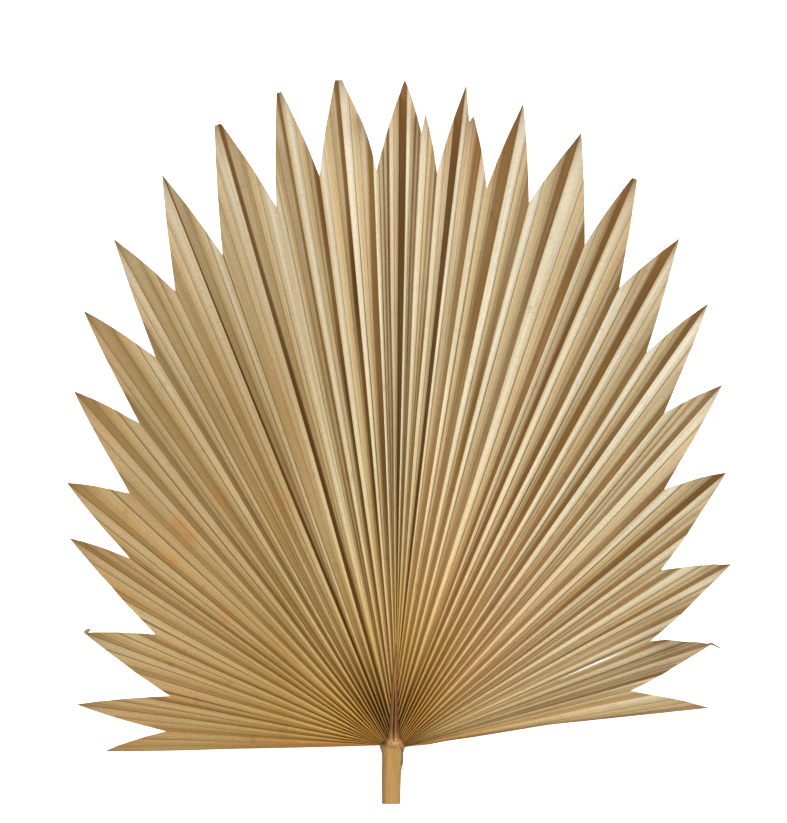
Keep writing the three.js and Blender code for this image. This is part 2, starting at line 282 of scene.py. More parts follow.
def pleat_of(place):
    return np.clip(np.floor(place + TINY), 0, PLEATS - 1)


def steep_share(pleat):
    """The steep side's share of a pleat, which is smaller on the flatter left side."""
    narrow = np.clip((pleat - NARROWING[0]) / (NARROWING[1] - NARROWING[0]), 0, 1)
    share = STEEP_SHARE + (NARROW_SHARE - STEEP_SHARE) * narrow
    return share * (SHARE_RANGE[0] + (SHARE_RANGE[1] - SHARE_RANGE[0]) * vary(pleat * 2.3))


def valley_at(pleat):
    return np.where(pleat < TURN_PLEAT, steep_share(pleat), 1 - steep_share(pleat))


def crease_rise(pleat):
    """How high up the broad side its weaker, second crease lies."""
    own = CREASE_RISE + CREASE_RISE_RANGE * vary(pleat * 5.1)
    return own + CREASE_RISE_LEFT * ease(pleat, *LEFT_START)


def fold_places():
    """Where the mesh lines reach the margin, counted in pleats: closer at every ridge and valley."""
    rows = [[0, SPLIT_PLACE + SPLIT_WIDTH], CORNER_PLACES]
    steep = np.array(STEEP_SAMPLES)
    for pleat in range(PLEATS):
        valley = valley_at(pleat)
        rises = np.concatenate([BROAD_SAMPLES, crease_rise(pleat) + np.array(CREASE_SAMPLES)])
        if pleat < TURN_PLEAT:
            rows += [pleat + valley * steep, pleat + valley + (1 - valley) * rises]
        else:
            rows += [pleat + 1 - (1 - valley) * steep, pleat + valley * (1 - rises)]
    places = np.sort(np.concatenate(rows))
    in_split = (places > SPLIT_PLACE + SPLIT_EDGE) & (places < SPLIT_PLACE + SPLIT_WIDTH - SPLIT_EDGE)
    return places[(np.diff(places, prepend=-1) > LEAST_SPACING) & ~in_split]


def pleat_rise(place):
    """0 in the valley and 1 on the ridge, and whether the place is on the broad side."""
    pleat = pleat_of(place)
    share = np.clip(place - pleat, 0, 1)
    valley = valley_at(pleat)
    falling = share < valley
    rise = np.where(falling, 1 - share / valley, (share - valley) / (1 - valley))
    return rise, falling != (pleat < TURN_PLEAT)


def pleat_depth(pleat, angle, distance):
    own = LEAST_OWN_DEPTH + OWN_DEPTH_RANGE * vary(pleat)
    side = np.clip((angle - FLAT_SIDE[0]) / (FLAT_SIDE[1] - FLAT_SIDE[0]), 0, 1)
    depth = np.minimum(DEPTH_LIMIT * distance, PLEAT_DEPTH * distance / (distance + DEPTH_REACH))
    return own * (1 + (FLAT_SIDE_DEPTH - 1) * side) * depth


def resting_height(x, y):
    """Height before the two teeth that the leaf rests on bend down."""
    reach = np.hypot(x, y)
    angle = np.arctan2(y, x) - math.radians(CENTRE_ANGLE)
    share = reach / LEAF_REACH
    rise = CENTRE_RISE * (1 - np.exp(-reach / CENTRE_RISE_REACH))
    rise = rise + SIDE_RISE * (1 - np.exp(-np.abs(x) / SIDE_RISE_REACH))
    wave = WAVE_HEIGHT * share**2 * np.cos(WAVE_COUNT * angle)
    return HUB_HEIGHT + rise - MARGIN_DROOP * share**3 + wave


def middle_height(x, y):
    height = resting_height(x, y)
    for tx, ty in LANDING_PLACES:
        drop = resting_height(tx, ty) - LANDING_HEIGHT
        height = height - bell(np.hypot(x - tx, y - ty), LANDING_RADIUS) * drop
    return height


def along_line(points, t):
    """Points of an open line at shares t of its length."""
    points = np.array(points, float)
    lengths = np.hypot(*np.diff(points, axis=0).T)
    at = np.concatenate([[0], np.cumsum(lengths)]) / lengths.sum()
    return np.stack([np.interp(t, at, points[:, 0]), np.interp(t, at, points[:, 1])], 1)


def fold_wander(places, distance):
    """How far the folds stray sideways from straight lines: each ridge and valley on its own."""
    pleats = np.arange(PLEATS)
    knots = np.sort(np.concatenate([np.arange(PLEATS + 1), pleats + valley_at(pleats)]))
    paths = smooth_vary(distance[:1] / WANDER_LENGTH, np.arange(len(knots))[:, None] * 0.37) - 0.5
    at = np.interp(places, knots, np.arange(len(knots)))
    low = np.minimum(at.astype(int), len(knots) - 2)
    share = (at - low)[:, None]
    return paths[low] * (1 - share) + paths[low + 1] * share


def fan_plan(places):
    """Points of the fan, by line and step, with the lines' angles and the points' distances from the root."""
    ends = margin_points(places)
    angle = angle_through(ends)
    away = np.stack([np.cos(np.radians(angle)), np.sin(np.radians(angle))], 1)
    ragged = RAGGED_CUT * (smooth_vary(places * 6, 3) - 0.5) + FRAYED_CUT * (vary(places * 91) - 0.5)
    ends = ends + away * ragged[:, None]
    roots = root_at(angle)
    tuck = TUCK * np.clip(climb_at(angle) * TUCK_GROWTH, 0, 1)
    starts = roots + away * (INNER_GAP - tuck)[:, None]
    t = (np.arange(RADIAL_STEPS + 1) / RADIAL_STEPS) ** STEP_GROWTH
    points = starts[:, None] + (ends - starts)[:, None] * t[:, None]
    distance = np.sum((points - roots[:, None]) * away[:, None], axis=2)
    distance = np.maximum(LEAST_DISTANCE, distance)
    strength = WANDER * ease(distance, *WANDER_START) * np.sin(np.pi * t**0.8)
    across = np.stack([-away[:, 1], away[:, 0]], 1)
    points = points + (fold_wander(places, distance) * strength)[..., None] * across[:, None]
    # The lowest pleat of the right half hangs down to the sagging edge
    sag = along_line(LOWER_EDGE, t) - points[0]
    share = np.clip(1 - places / steep_share(0), 0, 1)
    points = points + share[:, None, None] * sag
    # The split opens between two lines that otherwise lie close together
    first = int(np.argmin(np.abs(places - SPLIT_PLACE)))
    along = np.clip((t - SPLIT_ENDS[0]) / (SPLIT_ENDS[1] - SPLIT_ENDS[0]), 0, 1)
    width = CLOSED_WIDTH + (1 - CLOSED_WIDTH) * np.sin(np.pi * along) ** 0.7
    points[first + 1] = points[first] + (points[first + 1] - points[first]) * width[:, None]
    return points, angle, distance, t, first


def blade_surface():
    """The blade's grid: its places, points, heights, angles, distances and rises."""
    places = fold_places()
    points, angle, distance, t, split = fan_plan(places)
    x, y = points[..., 0], points[..., 1]
    column = places[:, None]
    pleat = pleat_of(column)
    rise, broad = pleat_rise(column)
    height = np.where(broad, 1 - (1 - rise) ** ROUNDING, rise)
    depth = pleat_depth(pleat, angle[:, None], distance)
    slope = depth / (steep_share(pleat) * distance * MEAN_PLEAT)
    far = ease(distance, *WAVE_START)
    lane = pleat * 2 + broad
    # Each side's own waves die out at its ridge and valley, so that neighbours still meet there
    waves = (smooth_vary(distance / SIDE_WAVE_LENGTH, lane) - 0.5) * SIDE_WAVE
    waves = waves + (smooth_vary(distance / RIPPLE_LENGTH, lane + 0.5) - 0.5) * RIPPLE
    lift = depth * (height - 0.5) + waves * far * np.sin(np.pi * rise)
    crease = np.where(broad, bell(rise - crease_rise(pleat), CREASE_WIDTH), 0)
    lift = lift - crease * CREASE_DEPTH * far
    ridge_waves = smooth_vary(distance / RIDGE_WAVE_LENGTH, np.round(column) + 0.25) - 0.5
    lift = lift + ridge_waves * RIDGE_WAVE * far * bell(1 - height, 0.5)
    lift = lift + bell(1 - rise, CREST_WIDTH) * CREST_RIB
    upright = BLADE_THICKNESS * np.hypot(1, slope)
    top = middle_height(x, y) + lift + TOP_LIFT * np.hypot(1, slope)
    top = np.maximum(top, upright + CLEARANCE)
    return {
        "places": places, "points": points, "top": top, "bottom": top - upright, "angle": angle,
        "distance": distance, "rise": np.broadcast_to(rise, x.shape), "t": t, "split": split,
    }


def grid_faces(lines, steps, skipped):
    """Triangles of a grid, anticlockwise seen from above, without the skipped cells, and their strips."""
    i, j = np.meshgrid(np.arange(lines - 1), np.arange(steps - 1), indexing="ij")
    keep = ~skipped(i, j)
    a = (i * steps + j)[keep]
    b = a + steps
    faces = np.concatenate([np.stack([a, a + 1, b + 1], 1), np.stack([a, b + 1, b], 1)])
    return faces, np.tile(i[keep], 2)


def sheet_walls(faces, count):
    """Walls round every edge of a sheet whose lower points follow its upper ones."""
    edges = np.concatenate([faces[:, [0, 1]], faces[:, [1, 2]], faces[:, [2, 0]]])
    keys = edges[:, 0] * count + edges[:, 1]
    rim = edges[~np.isin(edges[:, 1] * count + edges[:, 0], keys)]
    a, b = rim.T
    return np.concatenate([np.stack([a + count, b + count, b], 1), np.stack([a + count, b, a], 1)])


def new_object(name, verts, faces, smooth=True):
    mesh = bpy.data.meshes.new(name)
    mesh.from_pydata(np.asarray(verts).tolist(), [], faces if isinstance(faces, list) else faces.tolist())
    mesh.polygons.foreach_set("use_smooth", [smooth] * len(mesh.polygons))
    obj = bpy.data.objects.new(name, mesh)
    bpy.context.scene.collection.objects.link(obj)
    return obj


def add_value(obj, name, values, domain="POINT"):
    layer = obj.data.attributes.new(name, "FLOAT", domain)
    layer.data.foreach_set("value", np.ascontiguousarray(values, np.float32))


def add_map(obj, name, corners):
    layer = obj.data.uv_layers.new(name=name)
    layer.uv.foreach_set("vector", np.ascontiguousarray(corners, np.float32).ravel())


def tooth_tips():
    reach = np.hypot(*CORNERS.T)
    inner = np.minimum(np.roll(reach, 1), np.roll(reach, -1))
    return CORNERS[reach > inner + TOOTH_HEIGHT]


def pleat_pitch(surface):
    """The distance between each pleat's two ridges, at every step, in millimetres."""
    ridges = np.searchsorted(surface["places"], np.arange(PLEATS + 1) - TINY)
    ridges = np.minimum(ridges, len(surface["places"]) - 1)
    return np.linalg.norm(np.diff(surface["points"][ridges], axis=0), axis=2)


def fold_shadow(surface):
    """The painted shadow behind each ridge, partly the leaf's own brown: strength, width and how brown the
    rest is.

    Widths and distances from the root are in millimetres, angles in degrees.
    """
    pleat = pleat_of(surface["places"])[:, None]
    angle, d = surface["angle"][:, None], surface["distance"]
    pitch = pleat_pitch(surface)[pleat[:, 0].astype(int)]
    left = ease(pleat, *LEFT_SHADOWS)
    centre = ease(pleat, *MIDDLE_SHADOWS)
    dark_pleat = np.isin(pleat, DARK_PLEATS) * (1 - 0.35 * ease(d, 200, 320) * (pleat > 27))
    torn = (pleat == TORN_PLEAT) * ease(d, 60, 140) * (1 - ease(d, 178, 184))
    own = 0.8 + 0.3 * vary(pleat * 1.7 + 2) - 0.3 * ease(-angle, -36, -8) + 0.12 * left
    inner = 0.6 + 0.4 * np.maximum(ease(d, 20, 170), centre)
    patches = 0.84 + 0.3 * smooth_vary(d / 60, pleat + 0.6)
    force = (own * inner + 0.4 * dark_pleat) * patches + torn
    steep = pitch * steep_share(pleat)
    middle_pleat, spread = FULL_SHADOWS
    full = np.maximum(bell(pleat - middle_pleat, spread), dark_pleat * np.where(pleat < 27, 1, 0.35))
    slim = (1 - 0.4 * centre * (1 - full)) * (1 - 0.3 * ease(d, 170, 300) * (1 - full)) * (1 + 0.12 * full)
    whole = steep * (0.64 + 0.25 * vary(pleat * 7.7)) * slim * (1 + 0.35 * dark_pleat)
    # On the left half, where the steep sides face away, only thin lines are left of them
    narrow = np.minimum(0.07 * pitch + 0.3, 1.25) + dark_pleat * np.minimum(0.26 * pitch, 2.8)
    width = whole + (narrow - whole) * left + 1.1 * torn
    rest = 0.3 - 0.18 * left
    return force, width, np.broadcast_to(rest, force.shape)


def hub_tones(surface):
    """How ochre the blade is round the stalk, and how dark it is beside the costa and round the stalk's head.

    The reach from the stalk's head is in millimetres, the turn round it in degrees.
    """
    x, y = surface["points"][..., 0], surface["points"][..., 1]
    reach = np.hypot(x + 1, y)
    turn = np.degrees(np.arctan2(y, x + 1))
    length = 34 - 18 * ease(-turn, -62, -12) - 3 * ease(turn, 120, 170)
    ochre = np.minimum(2 * np.exp(-reach / length), 1)
    dark_near_costa = np.exp(-((reach / 50) ** 2)) * (1.1 * bell(turn - 108, 20) + 0.7 * bell(turn - 74, 16))
    return ochre, np.clip(dark_near_costa + 0.6 * np.exp(-reach / 13), 0, 1)


def blade_values(surface):
    """What the blade's material needs to know at every point of the grid."""
    x, y = surface["points"][..., 0], surface["points"][..., 1]
    d = surface["distance"]
    to_cut = (1 - surface["t"])[None] * (d[:, -1:] - d[:, :1])
    tips = tooth_tips()
    to_tip = np.min(np.hypot(x[..., None] - tips[:, 0], y[..., None] - tips[:, 1]), axis=2)
    force, width, rest = fold_shadow(surface)
    ochre, dark_near_costa = hub_tones(surface)
    return {
        "rise": surface["rise"], "shadow": force, "shadow_width": width, "shadow_rest": rest,
        "ochre": ochre, "dark_near_costa": dark_near_costa, "to_cut": to_cut, "to_tip": to_tip,
    }


def tube_faces(first, count):
    """Four-cornered faces round a row of count four-cornered rings, closed at both ends."""
    last = first + 4 * count - 4
    faces = [(first + 3, first + 2, first + 1, first)]
    for k in range(first, last, 4):
        faces += [(k + j, k + (j + 1) % 4, k + 4 + (j + 1) % 4, k + 4 + j) for j in range(4)]
    return faces + [(last, last + 1, last + 2, last + 3)]


def curled_bits(surface):
    """The curled bits as closed flat strips: points, triangles and each triangle's brownness."""
    verts, faces, brown = [], [], []
    ends = surface["points"][:, -1]
    up = np.array((0, 0, BIT_THICKNESS / 2))
    for path, widths, tone in CURLED_BITS:
        path = np.array(path)
        tip = np.argmin(np.hypot(*(ends - path[0, :2]).T))
        path[:, 2] += surface["top"][tip, -1]
        along = np.gradient(path[:, :2], axis=0)
        across = np.stack([-along[:, 1], along[:, 0]], 1) / np.hypot(*along.T)[:, None]
        half = np.column_stack([across * np.array(widths)[:, None] / 2, np.zeros(len(path))])
        rings = np.stack([path - half - up, path + half - up, path + half + up, path - half + up], 1)
        quads = tube_faces(len(verts), len(path))
        verts += rings.reshape(-1, 3).tolist()
        faces += [three for a, b, c, d in quads for three in ((a, b, c), (a, c, d))]
        brown += [tone] * (2 * len(quads))
    return np.array(verts), np.array(faces), np.array(brown)


def blade_mesh(surface):
    """The blade's points and triangles: upper side, underside, walls round every edge and the curled bits.

    The other three arrays say which corner of the grid each point stands for, which strip between two lines
    each triangle belongs to and how brown it is.
    """
    lines, steps = surface["top"].shape
    count = lines * steps
    low, high = (np.searchsorted(surface["t"], share) for share in SPLIT_ENDS)
    upper, strip = grid_faces(
        lines, steps, lambda i, j: (i == surface["split"]) & (j >= low) & (j < high),
    )
    walls = sheet_walls(upper, count)
    bits, bit_faces, bit_brown = curled_bits(surface)
    plan = surface["points"].reshape(-1, 2)
    sides = [np.column_stack([plan, surface[side].ravel()]) for side in ("top", "bottom")]
    faces = np.concatenate([upper, upper[:, [0, 2, 1]] + count, walls, bit_faces + 2 * count])
    wall_strip = np.minimum(walls[:, 2] // steps, lines - 2)
    strip = np.concatenate([strip, strip, wall_strip, np.zeros(len(bit_faces), int)])
    brown = np.concatenate([np.zeros(2 * len(upper)), np.ones(len(walls)), bit_brown])
    # The curled bits take their colour from the outer end of the first line
    corner = np.append(np.tile(np.arange(count), 2), np.full(len(bits), steps - 1))
    return np.concatenate([*sides, bits]), faces, corner, strip, brown


def add_point_values(obj, surface):
    """The grid's values on the upper side and the underside, and fixed ones on the curled bits."""
    for name, values in blade_values(surface).items():
        both_sides = np.tile(values.ravel(), 2)
        on_bits = BIT_DISTANCE if name in ("to_cut", "to_tip") else 0
        bits = np.full(len(obj.data.vertices) - len(both_sides), on_bits)
        add_value(obj, name, np.append(both_sides, bits))


def add_face_values(obj, pleat, broad, brown):
    """What the blade's material needs to know about every triangle."""
    middle_pleat, spread = SURE_CREASES
    sure = np.maximum(bell(pleat - middle_pleat, spread), 0.75 * ease(pleat, *LEFT_CREASES))
    values = {
        "broad": broad, "tone": vary(pleat * 2 + broad), "crease_rise": crease_rise(pleat),
        "crease_shade_force": sure + (0.95 - sure) * vary(pleat * 3.7), "wall": brown,
    }
    for name, numbers in values.items():
        add_value(obj, name, numbers, "FACE")


def add_blade_maps(obj, surface, corner, pleat, broad):
    """The strand map has pleats and metres from the root, the fold map millimetres from ridge and valley."""
    steps = surface["top"].shape[1]
    line, step = corner // steps, corner % steps
    strand = np.stack([surface["places"][line], surface["distance"].ravel()[corner] * MM], 1)
    add_map(obj, "strand", strand)
    share = np.where(broad, 1 - steep_share(pleat), steep_share(pleat))
    width = pleat_pitch(surface)[pleat.astype(int), step] * share
    rise = surface["rise"].ravel()[corner]
    add_map(obj, "fold", np.stack([(1 - rise) * width, rise * width], 1))


def make_blade():
    surface = blade_surface()
    verts, faces, corner, strip, brown = blade_mesh(surface)
    middle = (surface["places"][:-1] + surface["places"][1:]) / 2
    pleat, broad = pleat_of(middle)[strip], pleat_rise(middle)[1][strip]
    obj = new_object("palm_blade", verts * MM, faces)
    add_point_values(obj, surface)
    add_face_values(obj, pleat, broad, brown)
    add_blade_maps(obj, surface, corner[faces.ravel()], np.repeat(pleat, 3), np.repeat(broad, 3))
    obj.data.set_sharp_from_angle(angle=BLADE_SHARP_ANGLE)
    return obj


# The stalk
def stalk_rows(count):
    """The stalk's sections on smooth curves through the rows of its table."""
    y = np.linspace(STALK[0, 0], STALK[-1, 0], count)
    rows = [y]
    for column in STALK.T[1:]:
        slopes = np.gradient(column, STALK[:, 0])
        i = np.clip(np.searchsorted(STALK[:, 0], y, side="right") - 1, 0, len(STALK) - 2)
        span = STALK[i + 1, 0] - STALK[i, 0]
        t = (y - STALK[i, 0]) / span
        a, b = column[i], column[i + 1]
        curve = (
            (1 + 2 * t) * (1 - t) ** 2 * a + t * (1 - t) ** 2 * span * slopes[i]
            + t * t * (3 - 2 * t) * b + t * t * (t - 1) * span * slopes[i + 1]
        )
        rows.append(np.clip(curve, np.minimum(a, b), np.maximum(a, b)))
    return np.stack(rows, 1)


def stalk_marks(x, y, up):
    """Where the stalk has its slit, ridges, knot, notch, scar and collar, from 0 to 1.

    x runs across the stalk and y along it, in millimetres, and up from -1 underneath to 1 on top.
    """
    on_top = ease(up, 0.1, 0.7)
    costa = ease(y, 2, 7)
    slit = bell(x + 0.4 - 0.025 * y, 0.35) * ease(y, 1.5, 5) * (1 - ease(y, 18, 40))
    middle = np.interp(y, (0, 20, 62), (-0.4, 0.1, 1.5))
    apart = np.interp(y, (0, 6, 16, 40), (2.6, 1.5, 0.8, 0.5))
    ridges = bell(x - middle + apart, 0.34) + bell(x - middle - apart, 0.34)
    ridges = ridges * costa * (1 - ease(y, 40, 60))
    knot = bell(x - 1.6, 4.2) * bell(y - 1.4, 2.2)
    notch = bell(x + 6.4, 1.9) * bell(y - 1.4, 2.6)
    rim = 5.0 - 0.035 * (y + 6.5) ** 2
    scar = bell(x - rim - 0.3, 0.5) * ease(y, -13, -11) * (1 - ease(y, -2.5, -0.5))
    collar = ease(y, -3.2, -0.4) * (1 - ease(y, 3, 9))
    return {
        "slit": slit * on_top, "ridges": ridges * on_top, "knot": knot * on_top,
        "notch": notch, "scar": scar, "collar": collar,
    }


def stalk_surface():
    """Rings of points along the stalk, with the marks at each."""
    turn = np.arange(STALK_SIDES) / STALK_SIDES * 2 * np.pi
    power = 2 / STALK_SQUARENESS
    out = np.sign(np.cos(turn)) * np.abs(np.cos(turn)) ** power
    up = np.sign(np.sin(turn)) * np.abs(np.sin(turn)) ** power
    y, left, right, under, top = (column[:, None] for column in stalk_rows(STALK_SECTIONS).T)
    fibre = 0.05 * np.sin(turn * 17 + y * 0.05) + 0.04 * np.sin(turn * 31 - y * 0.08)
    half_wide, half_high = (right - left) / 2 - FIBRE_ROOM, (top - under) / 2 - FIBRE_ROOM
    inset = fibre * np.clip(half_high / 3, 0.2, 1)
    x = (left + right) / 2 + out * (half_wide + inset)
    z = (under + top) / 2 + up * (half_high + inset)
    y = np.broadcast_to(y, x.shape)
    marks = stalk_marks(x, y, np.broadcast_to(up, x.shape))
    lumps = (smooth_vary(x * 1.1 + y * 0.5, 8) + smooth_vary(x * 2.3 - y * 0.9, 9)) * 0.5
    z = z - SLIT_DEPTH * marks["slit"] + STALK_RIDGE_HEIGHT * marks["ridges"] + marks["knot"] * lumps
    z = z - NOTCH_DEPTH * marks["notch"] * (up > 0)
    x = x - SCAR_DEPTH * marks["scar"]
    return np.stack([x, y, np.maximum(z, 0)], 2), marks


def cap_end(verts, faces, first, centre, outward):
    """Closes one end of the stalk with smaller rings round a middle point."""
    k = np.arange(STALK_SIDES)
    after = (k + 1) % STALK_SIDES
    outer = np.array(verts[first:first + STALK_SIDES])
    before = first
    for share in CAP_RINGS:
        ring = centre + (outer - centre) * share
        ring[:, 1] += outward * CAP_BULGE * (1 - share)
        quads = np.stack([before + k, before + after, len(verts) + after, len(verts) + k], 1)
        faces += (quads if outward < 0 else quads[:, ::-1]).tolist()
        before = len(verts)
        verts += ring.tolist()
    fan = np.stack([before + k, before + after, np.full(STALK_SIDES, len(verts))], 1)
    faces += (fan if outward < 0 else fan[:, ::-1]).tolist()
    verts.append((centre + (0, outward * CAP_MIDDLE, 0)).tolist())


def make_stalk():
    rings, marks = stalk_surface()
    verts = rings.reshape(-1, 3).tolist()
    k = np.arange(STALK_SIDES)
    after = (k + 1) % STALK_SIDES
    starts = np.arange(STALK_SECTIONS - 1)[:, None] * STALK_SIDES
    quads = [starts + k, starts + STALK_SIDES + k, starts + STALK_SIDES + after, starts + after]
    faces = np.stack(quads, 2).reshape(-1, 4).tolist()
    cap_end(verts, faces, 0, rings[0].mean(0), -1)
    cap_end(verts, faces, (STALK_SECTIONS - 1) * STALK_SIDES, rings[-1].mean(0), 1)
    obj = new_object("palm_stalk", np.array(verts) * MM, faces)
    for name, values in marks.items():
        add_value(obj, name, np.pad(values.ravel(), (0, len(verts) - values.size)))
    obj.data.set_sharp_from_angle(angle=STALK_SHARP_ANGLE)
    return obj


# Materials
class Shader:
    """A node material that is built up from short calls. Its colours and strengths run from 0 to 1."""

    def __init__(self, name):
        self.material = bpy.data.materials.new(name)
        self.material.use_nodes = True
        self.nodes = self.material.node_tree.nodes
        self.links = self.material.node_tree.links
        self.surface = self.nodes["Principled BSDF"]

    def put(self, socket, value):
        if isinstance(value, bpy.types.NodeSocket):
            self.links.new(value, socket)
        elif value is not None:
            socket.default_value = value

    def attribute(self, name):
        node = self.nodes.new("ShaderNodeAttribute")
        node.attribute_name = name
        return node.outputs["Fac"]

    def map(self, name):
        node = self.nodes.new("ShaderNodeUVMap")
        node.uv_map = name
        return node.outputs["UV"]

    def stretch(self, vector, scale):
        node = self.nodes.new("ShaderNodeMapping")
        node.inputs["Scale"].default_value = scale
        self.links.new(vector, node.inputs["Vector"])
        return node.outputs["Vector"]

    def parts(self, vector):
        node = self.nodes.new("ShaderNodeSeparateXYZ")
        self.links.new(vector, node.inputs["Vector"])
        return node.outputs

    def place(self):
        return self.nodes.new("ShaderNodeTexCoord").outputs["Object"]

    def noise(self, vector, scale, detail=4.0, rough=0.6):
        node = self.nodes.new("ShaderNodeTexNoise")
        self.links.new(vector, node.inputs["Vector"])
        node.inputs["Scale"].default_value = scale
        node.inputs["Detail"].default_value = detail
        node.inputs["Roughness"].default_value = rough
        return node.outputs["Fac"]

    def math(self, kind, a, b=None, c=None):
        node = self.nodes.new("ShaderNodeMath")
        node.operation = kind
        for socket, value in zip(node.inputs, (a, b, c)):
            self.put(socket, value)
        return node.outputs[0]

    def times(self, *values):
        product = values[0]
        for value in values[1:]:
            product = self.math("MULTIPLY", product, value)
        return product

    def span(self, value, low, high, to_low=0.0, to_high=1.0):
        node = self.nodes.new("ShaderNodeMapRange")
        for socket, x in zip(node.inputs, (value, low, high, to_low, to_high)):
            self.put(socket, x)
        return node.outputs[0]

    def bell(self, offset, width):
        """1 where the offset is nothing, falling to nothing within about twice the width."""
        square = self.math("POWER", self.math("DIVIDE", offset, width), 2.0)
        return self.math("EXPONENT", self.math("MULTIPLY", square, -1.0))

    def fade(self, distance, reach):
        return self.math("EXPONENT", self.math("DIVIDE", distance, -reach))

    def mix(self, share, a, b, kind="MIX"):
        node = self.nodes.new("ShaderNodeMix")
        node.data_type = "RGBA"
        node.blend_type = kind
        self.put(node.inputs[0], share)
        self.put(node.inputs[6], a)
        self.put(node.inputs[7], b)
        return node.outputs[2]

    def grey(self, value):
        node = self.nodes.new("ShaderNodeCombineColor")
        for socket in node.inputs:
            self.put(socket, value)
        return node.outputs["Color"]

    def bump(self, height, strength, distance, below=None):
        node = self.nodes.new("ShaderNodeBump")
        node.inputs["Strength"].default_value = strength
        node.inputs["Distance"].default_value = distance
        self.links.new(height, node.inputs["Height"])
        if below is not None:
            self.links.new(below, node.inputs["Normal"])
        return node.outputs["Normal"]


def srgb(red, green, blue):
    """A colour from 0 to 255 as the renderer's linear one."""
    values = [c / 255 for c in (red, green, blue)]
    linear = [c / 12.92 if c <= 0.04045 else ((c + 0.055) / 1.055) ** 2.4 for c in values]
    return (*linear, 1)


# Colours of the blade
SILVER_TAN = srgb(169, 160, 136)
WARM_TAN = srgb(159, 141, 104)
PINK_TAN = srgb(165, 142, 109)
OLIVE_TAN = srgb(122, 101, 63)
LOWER_TAN = srgb(166, 145, 107)
SHADED_TAN = srgb(114, 90, 48)
# Painted sheen on pale bands and near the ridges
PAINTED_SHEEN = srgb(191, 187, 173)
# Painted shade of the steep sides, partly the leaf's own brown
STEEP_SHADE_BROWN = srgb(99, 72, 36)
DEEP_SHADE_BROWN = srgb(54, 34, 10)
# Painted shade in valleys and creases, also the leaf's dark flecks
FLECK_AND_CREASE_SHADE = srgb(28, 17, 6)
# Painted highlight on the ridges
RIDGE_HIGHLIGHT = srgb(182, 168, 134)
HUB_OCHRE = srgb(126, 82, 20)
# Painted highlight on the ridges round the stalk
HUB_RIDGE_HIGHLIGHT = srgb(198, 152, 76)
# Painted shade in the valleys round the stalk, also the darkening beside the costa
HUB_DARK_AND_VALLEY_SHADE = srgb(22, 9, 1)
TIP_BROWN = srgb(80, 55, 26)
STAIN_ORANGE = srgb(146, 84, 34)
RUST_TAN = srgb(138, 94, 48)
ROLL_PINK = srgb(138, 92, 48)
GOLDEN = (1.0, 0.85, 0.4, 1)
ROSY = (1.1, 1.0, 0.98, 1)
# Orange stains: place and size in millimetres, strength
STAINS = (
    (-104, 149, 6, 0.45), (-127, 133, 7, 0.42), (-121, 125, 5, 0.4),
    (-134, 110, 5, 0.35), (-101, 77, 5, 0.45), (-68, 145, 7, 0.25),
)
BLADE_SHINE = 0.06


def blade_fields(s):
    """What the blade's colours are mixed from: places, folds, noises along the fibres, regions."""
    f = SimpleNamespace()
    f.x, f.y, _ = s.parts(s.place())
    strand, fold = s.map("strand"), s.parts(s.map("fold"))
    f.pleats, f.reach = s.parts(strand)[:2]
    f.from_ridge, f.from_valley = fold[0], fold[1]
    f.width = s.math("ADD", f.from_ridge, f.from_valley)
    f.rise, f.broad, f.tone = s.attribute("rise"), s.attribute("broad"), s.attribute("tone")
    f.steep = s.math("SUBTRACT", 1.0, f.broad)
    f.above = s.math("SUBTRACT", f.rise, s.attribute("crease_rise"))
    f.shadow, f.to_cut = s.attribute("shadow"), s.attribute("to_cut")
    f.streaks = s.noise(s.stretch(strand, (13, 9, 1)), 1.0, 6, 0.7)
    f.fibres = s.noise(s.stretch(strand, (70, 22, 1)), 1.0, 3, 0.6)
    f.bands = s.noise(s.stretch(strand, (5.5, 2.5, 1)), 1.0, 3, 0.6)
    f.threads = s.noise(s.stretch(strand, (34, 6, 1)), 1.0, 2, 0.5)
    f.patches = s.noise(s.place(), 16, 3, 0.55)
    f.flecks = s.noise(s.place(), 90, 4, 0.65)
    f.grain = s.noise(s.place(), 900, 2, 0.7)
    f.left = s.times(s.span(f.x, 0.0, -0.065), s.span(f.y, 0.38, 0.2, 0.35, 1.0))
    f.right = s.math("SUBTRACT", 1.0, f.left)
    f.incline = s.math("DIVIDE", f.y, f.x)
    f.low_right = s.times(f.right, s.span(f.incline, 0.75, 0.35), s.span(f.x, 0.02, 0.05))
    return f


def ground_colour(s, f):
    """Silvery tan at the top and right, olive tan on the left, lengthwise bands of several widths, painted
    sheen on the right's pale bands.
    """
    colour = s.mix(s.span(f.streaks, 0.32, 0.68), SILVER_TAN, WARM_TAN)
    colour = s.mix(s.times(s.span(f.patches, 0.42, 0.66), 0.5), colour, PINK_TAN)
    colour = s.mix(s.times(f.left, 0.88), colour, OLIVE_TAN)
    colour = s.mix(s.times(f.tone, 0.25), colour, WARM_TAN)
    colour = s.mix(s.times(s.span(f.bands, 0.5, 0.38), 0.4), colour, SHADED_TAN)
    # Painted sheen on pale lengthwise bands of the right half
    colour = s.mix(s.times(s.span(f.bands, 0.52, 0.66), f.right, 0.4), colour, PAINTED_SHEEN)
    colour = s.mix(s.times(s.span(f.threads, 0.56, 0.7), 0.5), colour, SHADED_TAN)
    colour = s.mix(s.times(f.low_right, 0.3), colour, PINK_TAN)
    rust = s.times(f.left, s.span(f.bands, 0.52, 0.64), s.span(f.patches, 0.42, 0.58),
                   s.span(f.streaks, 0.35, 0.6, 0.3, 1.0))
    return s.mix(s.times(rust, 0.5), colour, RUST_TAN)


